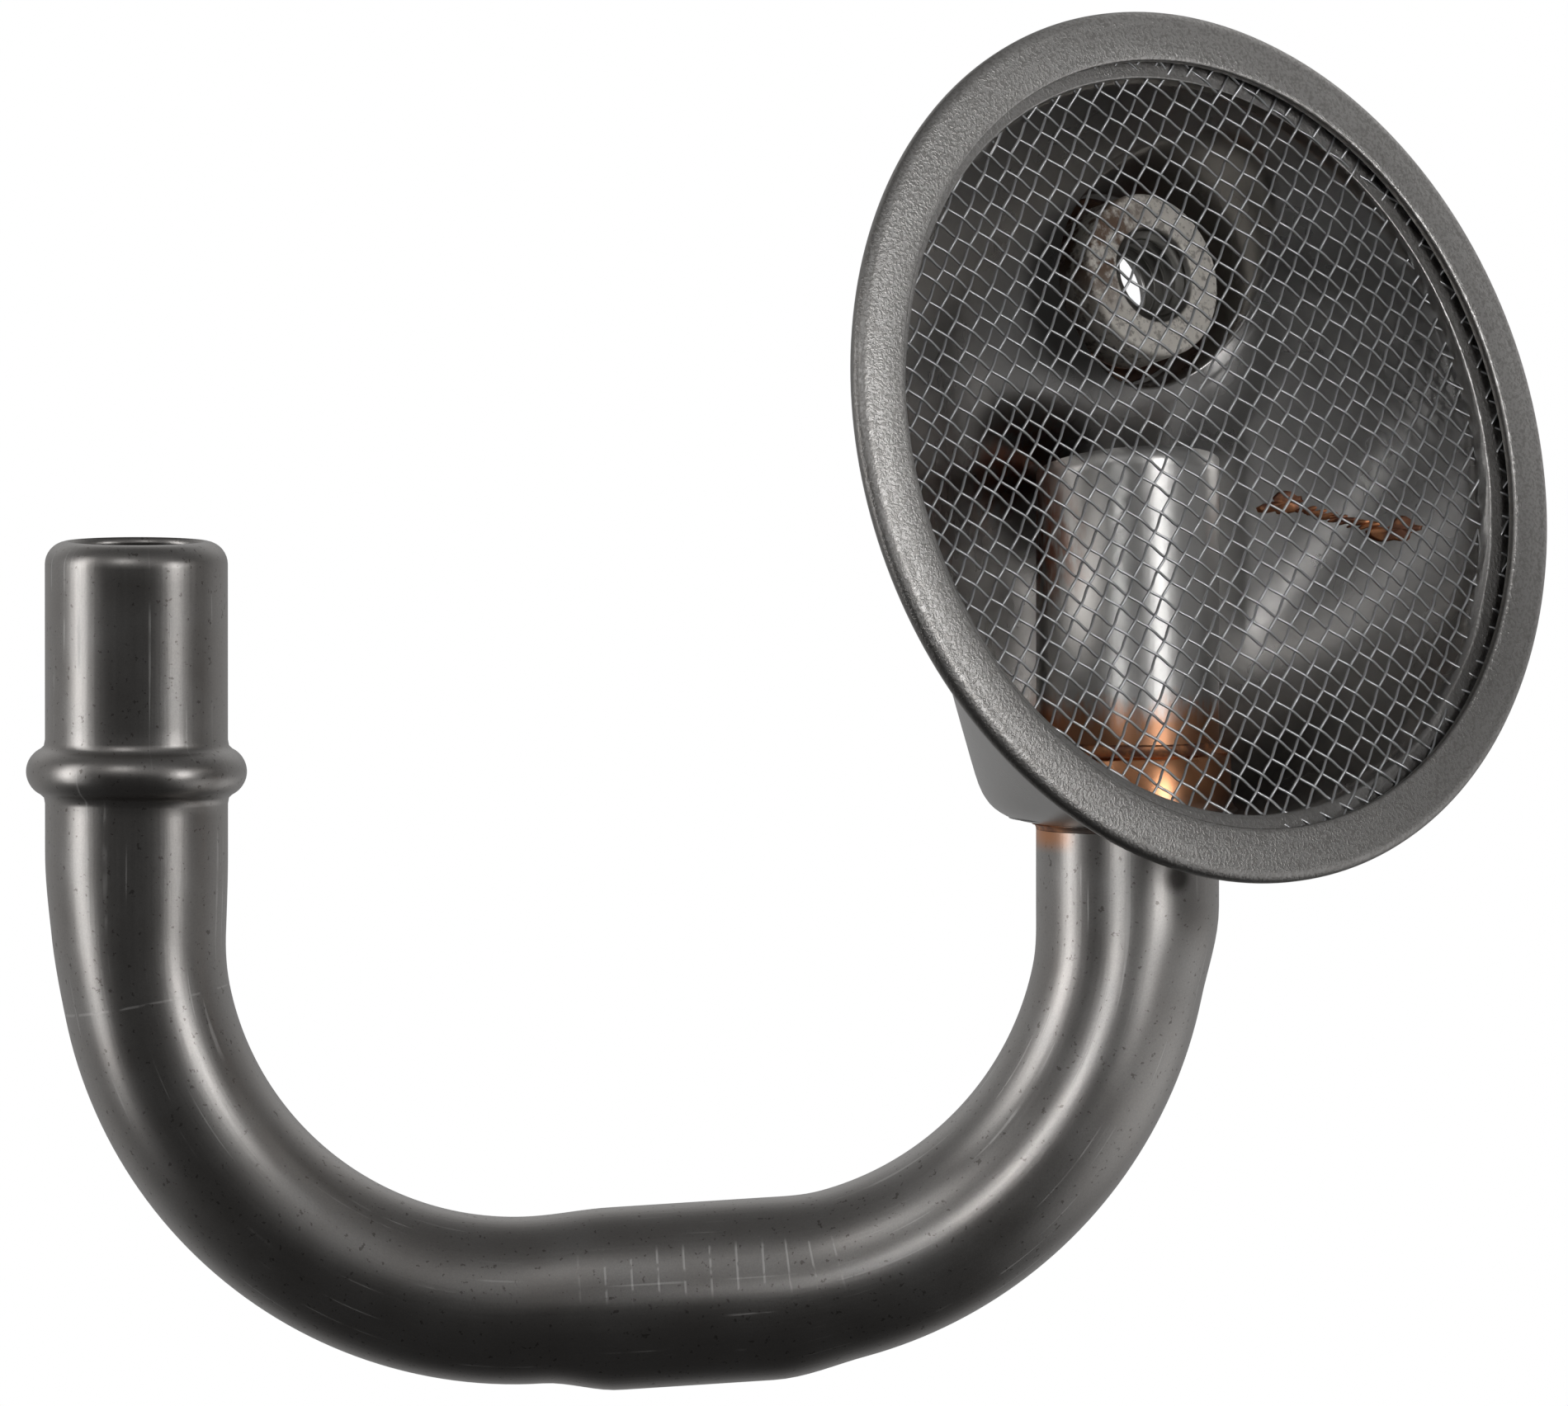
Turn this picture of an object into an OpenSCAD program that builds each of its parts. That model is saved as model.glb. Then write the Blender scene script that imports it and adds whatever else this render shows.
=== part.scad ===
// Oil pickup tube: a bent steel tube with a rolled bead and a nosed spigot, brazed into a
// stamped cup whose hemmed rim clamps a dished wire screen. A round threaded nut stands in
// a pocket of the cup and takes the bolt that holds the pickup.
// The spigot axis is Z, the bend lies in the plane Y = 0, and the origin is at the top of the
// bead, where the seat of the spigot begins.

/* [Tube] */
// Outside diameter of the tube
tube_od = 19.05; // [16:0.05:22]
// Wall of the tube
tube_wall = 1.25; // [0.9:0.05:1.8]
// Height of the spigot end above the bead
spigot_len = 24; // [18:0.5:40]
// Radius of the rolled-in spigot end
nose_r = 2.4; // [1.6:0.1:3.2]
// Height of the rolled bead above the tube
bead_rise = 1.975; // [1.8:0.025:3.4]
// Length of the rolled bead along the tube
bead_h = 5.2; // [4:0.1:6.5]
// Straight leg from the bead down to the first bend
leg_len = 16.4; // [10:0.1:40]

/* [Bends] */
// Centre line radius of the spigot side bend
spigot_bend_r = 39.2; // [30:0.1:60]
// Straight run between the two bends
bottom_run = 24; // [20:0.1:60]
// Centre line radius of the cup side bend
cup_bend_r = 40; // [30:0.1:60]
// Upward slope of the straight run, in degrees
run_slope = 3.7; // [0:0.1:8]
// Flattening of the spigot side bend, across its width
spigot_squeeze = 1.6; // [0:0.05:2]
// Flattening of the cup side bend, across its width
cup_squeeze = 1.15; // [0:0.05:2]
// Length over which the flattening fades into round tube
squeeze_fade = 8; // [4:0.5:12]
// Slant of the tube end inside the cup
mitre = 16.5; // [0:0.5:25]
// Turn of that slant about the tube
mitre_turn = 15; // [0:1:45]
// Distance from the tube end to the nut, along the cup
tube_end_gap = 11.5; // [8:0.5:16]

/* [Mouth] */
// Height of the mouth centre above the bead
mouth_rise = 35.1; // [32:0.1:45]
// Distance of the mouth centre ahead of the tube
mouth_ahead = 17.5; // [16.5:0.1:21]
// Sideways shift of the tube from the mouth centre
tube_aside = 3.8; // [-6:0.05:6]
// Turn of the mouth about the tube
mouth_turn = 40.8; // [0:0.1:60]
// Upward tilt of the mouth
mouth_tilt = 15.6; // [10:0.1:18]

/* [Cup] */
// Sheet thickness of the cup
sheet = 1.2; // [0.8:0.05:1.6]
// Inside diameter of the cup at its flange
hat_d = 79; // [76:0.5:90]
// Width of the flange from there to the rim's outer edge
flange_w = 6.9; // [5.5:0.1:12]
// Width of the folded lip
lip_w = 5.5; // [4.5:0.1:7]
// Space between the tube and the trough around it
trough_gap = 5; // [3:0.1:6]
// Distance of the end wall at the tube below the edge of the flange
end_drop = 0.4; // [0.1:0.1:3]
// Distance from the flange edge to the trough wall at the nut end
nut_end_draft = 8.5; // [6:0.1:10]
// Radius of the trough at the nut end
nut_end_r = 12; // [9:0.5:14]
// Depth of the trough at the nut end, outside
nut_end_depth = 25.4; // [24:0.1:28]
// Depth of the flat floor around the nut, inside
nut_floor = 18.8; // [17.5:0.1:21]
// Distance of the step below that floor from the nut's pocket, and of its foot from the tube end
step_gap = 1.5; // [0.5:0.1:2.5]
// Height of the drawn collar around the tube
collar_h = 6.3; // [2:0.1:9]

/* [Nut] */
// Outside diameter of the nut
nut_od = 17.4; // [15:0.1:19]
// Tapping diameter of the nut, before its thread is cut
nut_bore = 7.94; // [6:0.02:9]
// Length of the nut
nut_len = 7.2; // [5:0.1:9]
// Sideways place of the nut from the mouth centre
nut_x = 11.6; // [8:0.1:14]
// Upward place of the nut from the mouth centre
nut_y = 21.6; // [18:0.1:22]
// Depth of the nut seat behind the lip face
seat_depth = 24.2; // [22:0.1:26]
// Diameter of the flat pocket that holds the nut
pocket_d = 22; // [20.8:0.1:24]
// Diameter of the bolt hole in the pocket
bolt_hole = 10; // [9.4:0.1:12]

/* [Screen] */
// Thickness of the screen where the rim clamps it
screen_edge = 0.8; // [0.5:0.05:1.2]
// Distance of the screen's edge from the fold, and overlap of that edge on the dish
screen_hem = 1; // [0.5:0.1:2]
// Depth of the dish in the screen
screen_sag = 4; // [2:0.1:5]
// Distance between neighbouring bars
screen_pitch = 8; // [7.6:0.1:12]
// Width of a bar
bar_w = 1.1; // [0.8:0.1:2]
// Thickness of a bar
bar_t = 0.7; // [0.5:0.05:1]
// Direction of the bars in the mouth
weave_turn = 52; // [0:1:90]

/* [Braze] */
// Size of the braze fillets around the tube
tube_fillet = 1.2; // [0.8:0.1:3]
// Size of the braze fillet around the nut
nut_fillet = 1.2; // [0.6:0.1:1.8]
// Clearance of the pieces that are put together
fit_gap = 0.05; // [0.02:0.01:0.1]

/* [Hidden] */

// Fineness of round shapes, of the bent tube and of the cup
$fn = 96;
tube_sides = 28;
bore_sides = 20;
bend_steps = 12;
fade_steps = 3;
hull_fn = 36;
over = 1;

// Tube
tube_r = tube_od / 2;
bore_r = tube_r - tube_wall;
bead_r = bead_h / 2;
bead_ring_r = tube_r + bead_rise - bead_r;
// Share of a bend's flattening that falls on its outer side
outer_share = 0.75;

// Middle line of the bent tube, in X and Z
run_dir = [cos(run_slope), sin(run_slope)];
run_up = [-sin(run_slope), cos(run_slope)];
spigot_bend_centre = [spigot_bend_r, -leg_len];
run_start = spigot_bend_centre - spigot_bend_r * run_up;
run_end = run_start + bottom_run * run_dir;
cup_bend_centre = run_end + cup_bend_r * run_up;
cup_leg_x = cup_bend_centre[0] + cup_bend_r;
cup_leg_z = cup_bend_centre[1];

// Place of the tube in the cup, where X is sideways, Y up and Z out of the mouth
function in_cup(z) = [
    tube_aside,
    mouth_ahead * sin(mouth_tilt) + (z - mouth_rise) * cos(mouth_tilt),
    -mouth_ahead * cos(mouth_tilt) + (z - mouth_rise) * sin(mouth_tilt)
];
function z_at(y) = mouth_rise + (y - mouth_ahead * sin(mouth_tilt)) / cos(mouth_tilt);

// Rim, from the lip face at Z = 0 back to the flange
hat_r = hat_d / 2;
rim_r = hat_r + flange_w;
rim_od = 2 * rim_r;
lip_in_r = rim_r - lip_w;
screen_slot = screen_edge + 2 * fit_gap;
fold_h = 2 * sheet + screen_slot;
fold_r = fold_h / 2;
slot_z = -sheet - screen_slot / 2;

// Trough around the tube, with a flat end wall square to the tube at end_wall_z
trough_r = tube_r + trough_gap + sheet;
flat_r = tube_r + tube_fillet;
corner_r = trough_r - flat_r;
flange_low_z = mouth_rise - (hat_r + sheet) * cos(mouth_tilt) - fold_h * sin(mouth_tilt);
end_wall_z = flange_low_z - end_drop;
high_y = hat_r + sheet - nut_end_draft - nut_end_r;
tube_end_y = nut_y - nut_od / 2 - tube_end_gap;
tube_end_z = z_at(tube_end_y);

// Step from the trough up to the flat floor around the nut
step_top_y = nut_y - pocket_d / 2 - step_gap;
step_foot_y = tube_end_y + step_gap;
step_foot_depth = (trough_r - sheet) / cos(mouth_tilt) - in_cup(tube_end_z)[2];
step_slope = atan2(step_foot_depth - nut_floor, step_top_y - step_foot_y);
step_depth = 2 * step_foot_depth;

// Screen
dish_r = hat_r - bar_t / 2 - fit_gap;
dish_ball_r = (dish_r * dish_r + screen_sag * screen_sag) / (2 * screen_sag);
screen_r = rim_r - fold_r - screen_hem;
bar_side = floor(dish_r / screen_pitch);
bar_overlap = bar_t / 4;

// Bevel of the nut's edges
nut_chamfer = 0.6;

// Flattening of the bends, 0 to 1 along the fade
function fade(t) = t <= 0 ? 0 : t >= 1 ? 1 : t * t * (3 - 2 * t);

// One ring of the bent tube: radius r, flattened by squeeze in the plane of the bend.
// The first number points away from the centre of the bend, the second across it.
function section(r, squeeze, sides) = [
    for (i = [0 : sides - 1])
        let (
            c = cos(360 * i / sides),
            share = c > 0 ? outer_share : 1 - outer_share
        )
        [(r - share * squeeze) * c, r * sin(360 * i / sides)]
];

// A ring set at a distance from a centre, in a direction that is turned from straight down
function turned_ring(centre, distance, turn, ring) = [
    for (p = ring) [
        centre[0] + (distance + p[0]) * sin(turn),
        p[1],
        centre[1] - (distance + p[0]) * cos(turn)
    ]
];

// All rings of the bent tube, from the spigot leg over the run to the cup leg
function bend_rings(r, sides) = concat(
    [
        for (i = [0 : bend_steps])
            let (
                turn = -90 + (90 + run_slope) * i / bend_steps,
                arc = PI * spigot_bend_r * (turn + 90) / 180
            )
            turned_ring(spigot_bend_centre, spigot_bend_r, turn,
                section(r, spigot_squeeze * fade(arc / squeeze_fade), sides))
    ],
    [
        for (i = [1 : fade_steps])
            turned_ring(run_start + run_dir * squeeze_fade * i / fade_steps, 0, run_slope,
                section(r, spigot_squeeze * (1 - fade(i / fade_steps)), sides))
    ],
    [
        for (i = [0 : bend_steps])
            let (
                turn = run_slope + (90 - run_slope) * i / bend_steps,
                arc = PI * cup_bend_r * min(turn - run_slope, 90 - turn) / 180
            )
            turned_ring(cup_bend_centre, cup_bend_r, turn,
                section(r, cup_squeeze * fade(arc / squeeze_fade), sides))
    ]
);

// Solid skinned over a list of rings that all have the same number of points
module skin(rings) {
    sides = len(rings[0]);
    last = len(rings) - 1;
    points = [for (ring = rings) each ring];
    side_faces = [
        for (i = [0 : last - 1], j = [0 : sides - 1])
            let (a = i * sides + j, b = i * sides + (j + 1) % sides)
            each [[a, b + sides, b], [a, a + sides, b + sides]]
    ];
    start_face = [for (j = [0 : sides - 1]) j];
    end_face = [for (j = [sides - 1 : -1 : 0]) last * sides + j];
    polyhedron(points, concat([start_face], side_faces, [end_face]));
}

// Section of the spigot with its bead and rolled-in end, right of the axis
module spigot_profile() {
    difference() {
        union() {
            translate([0, -leg_len]) square([tube_r, leg_len + spigot_len - nose_r]);
            square([tube_r - nose_r, spigot_len]);
            translate([tube_r - nose_r, spigot_len - nose_r]) circle(nose_r);
            translate([bead_ring_r, 0]) circle(bead_r);
        }
        translate([-over, -leg_len - over]) square([bore_r + over, leg_len + spigot_len - nose_r + over]);
        translate([bead_ring_r, 0]) circle(bead_r - tube_wall);
        translate([-over, 0]) square([tube_r - nose_r + over, spigot_len + over]);
        translate([tube_r - nose_r, spigot_len - nose_r]) circle(nose_r - tube_wall);
        translate([-tube_r, -tube_r - leg_len]) square([tube_r, 4 * tube_r + leg_len + spigot_len]);
    }
}

// Moves a piece that is made about the middle of the bead to the origin at its top
module from_seat() {
    translate([0, 0, -bead_r]) children();
}

module at_cup_leg() {
    translate([cup_leg_x, 0, 0]) children();
}

module in_mouth() {
    from_seat()
        at_cup_leg()
            rotate([0, 0, mouth_turn])
                translate([-tube_aside, -mouth_ahead, mouth_rise])
                    rotate([90 - mouth_tilt, 0, 0])
                        children();
}

// Straight leg inside the cup, with its slanted end
module cup_leg() {
    cut = 2 * tube_od;
    at_cup_leg() difference() {
        translate([0, 0, cup_leg_z]) difference() {
            cylinder(h = tube_end_z + tube_od - cup_leg_z, r = tube_r);
            translate([0, 0, -over]) cylinder(h = tube_end_z + 2 * tube_od - cup_leg_z, r = bore_r);
        }
        translate([0, 0, tube_end_z])
            rotate([-mitre, 0, mitre_turn])
                translate([-cut / 2, -cut / 2, 0])
                    cube(cut);
    }
}

module pickup_tube() color("dimgray") from_seat() {
    rotate_extrude() spigot_profile();
    difference() {
        skin(bend_rings(tube_r - fit_gap, tube_sides));
        skin(bend_rings(bore_r - fit_gap, bore_sides));
    }
    cup_leg();
}

// Axis of the tube inside the mouth frame, from the outer face of the end wall upwards
module at_tube() {
    translate(in_cup(end_wall_z)) rotate([mouth_tilt - 90, 0, 0]) children();
}

module at_nut() {
    translate([nut_x, nut_y, -seat_depth]) children();
}

// Solid of the cup: the round flange opening drawn over the trough, less an inset all round
module hat_solid(inset, front) {
    hull() {
        translate([0, 0, -fold_h])
            cylinder(h = fold_h + front, r = hat_r + sheet - inset, $fn = 2 * hull_fn);
        at_tube()
            translate([0, 0, corner_r])
                rotate_extrude($fn = hull_fn)
                    translate([flat_r, 0])
                        circle(corner_r - inset, $fn = hull_fn);
        translate(in_cup(tube_end_z)) sphere(trough_r - inset, $fn = hull_fn);
        translate([nut_x - nut_end_r / 4, high_y, nut_end_r - nut_end_depth])
            sphere(nut_end_r - inset, $fn = hull_fn);
    }
}

// What is kept out of the cup above the step: everything below the flat floor around the nut
module nut_block(outset) {
    top = nut_floor + outset;
    edge = step_top_y + outset * tan(step_slope / 2);
    rotate([90, 0, 90])
        linear_extrude(height = 2 * rim_od, center = true)
            polygon([
                [edge, -top],
                [edge - (step_depth - top) / tan(step_slope), -step_depth],
                [rim_od, -step_depth],
                [rim_od, -top]
            ]);
}

// The same solid with the flat floor around the nut and the pocket that is pressed into it
module seated_hat(inset, front) {
    outset = sheet - inset;
    difference() {
        hat_solid(inset, front);
        nut_block(outset);
    }
    translate([nut_x, nut_y, -seat_depth - outset])
        cylinder(h = seat_depth + outset - fold_h, d = pocket_d + 2 * outset);
}

// Half section of the flange and of the hem that is folded over the screen
module rim_profile() {
    flange_start = hat_r + sheet / 2;
    difference() {
        union() {
            translate([flange_start, -fold_h]) square([rim_r - fold_r - flange_start, sheet]);
            translate([lip_in_r, -sheet]) square([rim_r - fold_r - lip_in_r, sheet]);
            translate([rim_r - fold_r, -fold_r]) circle(fold_r);
        }
        translate([flange_start - over, -sheet - screen_slot])
            square([rim_r - fold_r - flange_start + over, screen_slot]);
    }
}

module pickup_cup() color("gray") in_mouth() {
    rotate_extrude() rim_profile();
    difference() {
        union() {
            difference() {
                seated_hat(0, -sheet - screen_slot);
                seated_hat(sheet, over);
            }
            at_tube() cylinder(h = collar_h + sheet, r = tube_r + fit_gap + sheet);
        }
        at_tube() translate([0, 0, -over]) cylinder(h = collar_h + sheet + 2 * over, r = tube_r + fit_gap);
        at_nut() translate([0, 0, -nut_len]) cylinder(h = 2 * nut_len, d = bolt_hole);
    }
}

// One layer of the dished screen between two depths from its middle
module dish_layer(front, back) {
    translate([0, 0, slot_z - screen_sag + dish_ball_r])
        rotate_extrude()
            intersection() {
                difference() {
                    circle(dish_ball_r + back);
                    circle(dish_ball_r - front);
                }
                translate([0, -2 * dish_ball_r]) square([dish_r, 2 * dish_ball_r]);
            }
}

// Parallel bars across the mouth, as deep as the dish
module bars(turn) {
    rotate([0, 0, turn])
        for (i = [-bar_side : bar_side])
            translate([0, i * screen_pitch, slot_z - screen_sag])
                cube([2 * rim_r, bar_w, 4 * screen_sag], center = true);
}

module inlet_screen() color("silver") in_mouth() {
    translate([0, 0, slot_z - screen_edge / 2])
        difference() {
            cylinder(h = screen_edge, r = screen_r);
            translate([0, 0, -over]) cylinder(h = screen_edge + 2 * over, r = dish_r - screen_hem);
        }
    intersection() {
        dish_layer(bar_t / 2, bar_overlap);
        bars(weave_turn);
    }
    intersection() {
        dish_layer(bar_overlap, bar_t / 2);
        bars(weave_turn + 90);
    }
}

module mounting_nut() color("lightgray") in_mouth() at_nut() {
    rotate_extrude()
        polygon([
            [nut_bore / 2 + nut_chamfer, 0],
            [nut_od / 2, 0],
            [nut_od / 2, nut_len - nut_chamfer],
            [nut_od / 2 - nut_chamfer, nut_len],
            [nut_bore / 2 + nut_chamfer, nut_len],
            [nut_bore / 2, nut_len - nut_chamfer],
            [nut_bore / 2, nut_chamfer]
        ]);
}

// Ring of braze with a hollow face, in the corner between an upright wall of radius r and a floor
module fillet_ring(r, size) {
    rotate_extrude()
        translate([r, 0])
            difference() {
                square(size);
                translate([size, size]) circle(size);
            }
}

module tube_braze() color("peru") in_mouth() at_tube() {
    mirror([0, 0, 1]) fillet_ring(tube_r + fit_gap, tube_fillet - fit_gap);
    translate([0, 0, collar_h + sheet]) fillet_ring(tube_r + fit_gap, sheet);
}

module nut_braze() color("peru") in_mouth() at_nut() {
    fillet_ring(nut_od / 2 + fit_gap, nut_fillet);
}

pickup_tube();
pickup_cup();
inlet_screen();
mounting_nut();
tube_braze();
nut_braze();
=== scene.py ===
"""Oil pickup tube: bent tube, stamped cup, woven screen, threaded nut and braze on their frame."""

import math

import bmesh
import bpy
import numpy as np
from bpy.props import FloatProperty, FloatVectorProperty, IntProperty, PointerProperty
from bpy.types import Operator, Panel, PropertyGroup
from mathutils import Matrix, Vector


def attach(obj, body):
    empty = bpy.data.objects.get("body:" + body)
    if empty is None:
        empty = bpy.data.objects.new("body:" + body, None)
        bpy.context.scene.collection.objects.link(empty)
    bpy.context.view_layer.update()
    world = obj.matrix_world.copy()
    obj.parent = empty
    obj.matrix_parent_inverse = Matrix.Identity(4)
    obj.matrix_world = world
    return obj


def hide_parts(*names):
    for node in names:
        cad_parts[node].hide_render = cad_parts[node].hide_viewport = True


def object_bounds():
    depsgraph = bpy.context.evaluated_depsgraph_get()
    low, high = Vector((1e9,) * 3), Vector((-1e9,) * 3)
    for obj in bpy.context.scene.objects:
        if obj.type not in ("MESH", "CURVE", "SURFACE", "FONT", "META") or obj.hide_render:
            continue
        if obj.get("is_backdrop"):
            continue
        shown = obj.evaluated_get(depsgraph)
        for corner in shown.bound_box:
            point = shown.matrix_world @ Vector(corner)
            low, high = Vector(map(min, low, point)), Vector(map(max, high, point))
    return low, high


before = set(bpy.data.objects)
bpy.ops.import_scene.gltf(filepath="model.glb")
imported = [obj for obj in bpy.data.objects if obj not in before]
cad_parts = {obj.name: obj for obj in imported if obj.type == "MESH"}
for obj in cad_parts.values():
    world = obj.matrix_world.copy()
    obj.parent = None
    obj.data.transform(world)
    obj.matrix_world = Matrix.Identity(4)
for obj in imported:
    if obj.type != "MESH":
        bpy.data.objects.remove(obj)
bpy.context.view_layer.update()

bl_info = {
    "name": "Oil pickup tube",
    "version": (1, 0, 0),
    "blender": (4, 5, 0),
    "location": "3D View > Sidebar > Pickup",
    "description": "Builds a bent oil pickup tube with its cup, screen, nut and braze",
    "category": "Add Mesh",
}

MM = 0.001
WELD = 0.0001 * MM
RING_SIDES = 96

# Bead, groove and flattening of the tube

OUTER_SHARE = 0.75
FOOT_RISE = 0.5 * MM
EASING = (0.12 * MM, 0.35 * MM)
EASING_END = 1 * MM
GROOVE_HALF = 1.6 * MM
GROOVE_TURN = 0.9

# Search for the planes that touch the cup's hat

FIRST_BEARINGS = 36
FIRST_LEANS = range(8, 85, 8)
SEARCH_ROUNDS = 52
FIRST_STEP = 0.1
STEP_SHRINK = 0.85
PATTERN_TURN = 2.4
SOFTENINGS = 6

# Blends and edges of the cup

STEP_GAP = 1.5 * MM
STEP_SLOPE = 1.2
STEP_BLEND = 10 * MM
HAT_BLEND = 5 * MM
FLANGE_BLEND = 0.9 * MM
WELL_SLOPE = 7
WELL_LEAD = 0.6 * MM
SEAT_BLEND = 1 * MM
POCKET_BLEND = 4 * MM
POCKET_WALL = (-1.4 * MM, 2.2 * MM)
BRIM = 1.2 * MM
LIP_EDGE = 0.3 * MM
CROWN_DROP = 0.45 * MM
HOLE_INSET = 0.45 * MM
HOLE_TOP = 8 * MM
COLLAR_GAP = 0.05 * MM
COLLAR_EDGE = 0.4 * MM
COLLAR_FOOT = 1.6 * MM

# Lie of the wires, edges of the nut, and unevenness of the braze

WIRE_INSET = 3.6 * MM
HELD_EDGE = 42.6 * MM
HELD_WIDTH = 4.4 * MM
WIRE_DRIFT = 0.1
DRIFT_WAVES = 90
DRIFT_START = 1.7
CRIMP = 0.52
THREAD_DEPTH = 0.54
NUT_BREAK = 0.2 * MM
THREAD_END = 0.15 * MM
BRAZE_SEAT = 0.1 * MM
TUBE_CLEARANCE = 0.03 * MM
NUT_CLEARANCE = 0.02 * MM
SWELLS = ((0.22, 3, 0.6), (0.14, 7, 2.0))

# Drops on the ramp, as place in the mouth and half width both ways, and the row between them

FIRST_DROP = (25.5 * MM, -3.0 * MM, 1.9 * MM, 1.2 * MM)
LAST_DROP = (33.5 * MM, -8.0 * MM, 2.0 * MM, 1.3 * MM)
SMALL_DROP = (0.9 * MM, 0.35 * MM)
SMALL_DROPS = 7
ROW_START, ROW_END = 0.22, 0.78
DROP_HEIGHT = 0.45 * MM
DROP_SINK = 0.05 * MM

# Marks on the tube and a spot of painted shade under the rim, about the middle of the bead

TICK_SPACING = 2.75 * MM
TICK_HEIGHTS = (-54.5 * MM, -48.2 * MM)
TICK_SPAN = (44.0 * MM, 75.5 * MM)
RUN_MIDDLE = 61.7 * MM
RUN_RISE = 0.065
RING_SCRATCH = 47.8 * MM
# Painted shade: dark spot on the tube just under the rim
RIM_SHADE_SPOT = (108.3 * MM, -8.0 * MM, -10.6 * MM)
TUBE_BLUSH = (93.8 * MM, -3.0 * MM, 24.0 * MM)

# Stains and a spot of painted shade in the cup, as sideways, upward and outward places of its mouth

WALL_STAIN = (-4.5 * MM, 0.0, -21.0 * MM)
# Painted shade: dark patch in the pocket left of the nut
POCKET_SHADE_SPOT = (4.5 * MM, 20.5 * MM, -21.0 * MM)
NUT_BURN = (4.5 * MM, 26.0 * MM, -17.0 * MM)

# Tones of wear, and of painted light and shade, on the metals

WARM_STEEL = (0.40, 0.365, 0.34)
PIT_BROWN = (0.1, 0.085, 0.075)
BRIGHT_MARK = (0.82, 0.81, 0.79)
# Painted light: brighter copy of the tube steel for the leg inside the cup
BRIGHTENED_STEEL = (0.84, 0.83, 0.81)
RED_BROWN = (0.42, 0.17, 0.085)
# Painted shade under the rim on the tube
RIM_SHADE_BLACK = (0.05, 0.045, 0.04)
# The lip's own darker grainy tone, and painted shade on the outer fold
LIP_TONE_AND_FOLD_SHADE = (0.17, 0.165, 0.16)
LIP_GRIT = (0.24, 0.22, 0.2)
# Painted shade in the pocket by the nut
CUP_POCKET_SHADE = (0.05, 0.048, 0.045)
NUT_STAIN = (0.2, 0.17, 0.145)
NUT_BROWN = (0.2, 0.13, 0.09)
BORE_STEEL = (0.3, 0.29, 0.27)
DULL_COPPER = (0.27, 0.13, 0.085)
# Painted shade on the braze at the nut
BRAZE_POCKET_SHADE = (0.06, 0.05, 0.045)
BARE_RING = (0.2, 0.185, 0.175)

# Stage, in metres, watts and degrees

FLOOR_REACH = 3.0
FLOOR_DROP = 0.3
LIGHT_AIM = 0.1
CAMERA_AWAY = 6.0
CAMERA_RISE = 3.6
CAMERA_AIM = (67.36 * MM, 0.0, 4.53 * MM)
VIEW_WIDTH = 163.1 * MM
SENSOR_WIDTH = 36.0
CLIP = (0.1, 60.0)

# Name, place, size, power, spread and height of the aim of each light

LIGHTS = (
    ("left_softbox", (-0.6, -0.15, 0.1), (0.2, 0.9), 0.4, 80, 0.0),
    ("right_softbox", (0.32, -0.25, 0.06), (0.09, 0.4), 0.055, 44, 0.0),
    ("front_strip", (0.025, -0.4, 0.0), (0.035, 0.06), 0.0015, 16, -0.02),
    ("upper_softbox", (-0.1, -0.35, 0.3), (0.14, 0.14), 0.02, 80, 0.03),
)


def length(name, description, default_mm):
    """A length property whose default is given in millimetres."""
    return FloatProperty(
        name=name,
        description=description,
        default=default_mm * MM,
        unit="LENGTH",
        subtype="DISTANCE",
        precision=5,
    )


def angle(name, description, default_deg):
    """An angle property whose default is given in degrees."""
    return FloatProperty(
        name=name,
        description=description,
        default=math.radians(default_deg),
        unit="ROTATION",
        subtype="ANGLE",
    )


def colour(name, description, default):
    """A colour property."""
    return FloatVectorProperty(
        name=name,
        description=description,
        default=default,
        size=3,
        min=0.0,
        max=1.0,
        subtype="COLOR",
    )


class TubeSizes(PropertyGroup):
    """Sizes of the bent tube."""

    od: length("Outside diameter", "Outside diameter of the tube", 19.05)
    wall: length("Wall", "Wall of the tube", 1.25)
    spigot: length("Spigot", "Height of the spigot above the bead", 24.0)
    nose: length("Nose radius", "Radius of the rolled-in spigot end", 2.4)
    bead_od: length("Bead diameter", "Outside diameter of the bead", 23.0)
    bead_height: length("Bead height", "Height of the bead", 5.2)
    leg: length("Leg", "Straight leg below the bead", 16.4)
    first_bend: length("First bend", "Middle line radius of the spigot side bend", 39.2)
    run: length("Run", "Straight run between the bends", 24.0)
    second_bend: length("Second bend", "Middle line radius of the cup side bend", 40.0)
    run_slope: angle("Run slope", "Upward slope of the run", 3.7)
    first_squeeze: length("First flattening", "Flattening of the first bend", 1.6)
    second_squeeze: length("Second flattening", "Flattening of the second bend", 1.15)
    fade: length("Fade", "Length over which the flattening fades", 8.0)
    end_height: length("End height", "Height of the slanted end above the bead", 31.67)
    mitre: angle("Mitre", "Slant of the end inside the cup", 16.5)
    mitre_turn: angle("Mitre turn", "Turn of that slant about the tube", 15.0)


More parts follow.
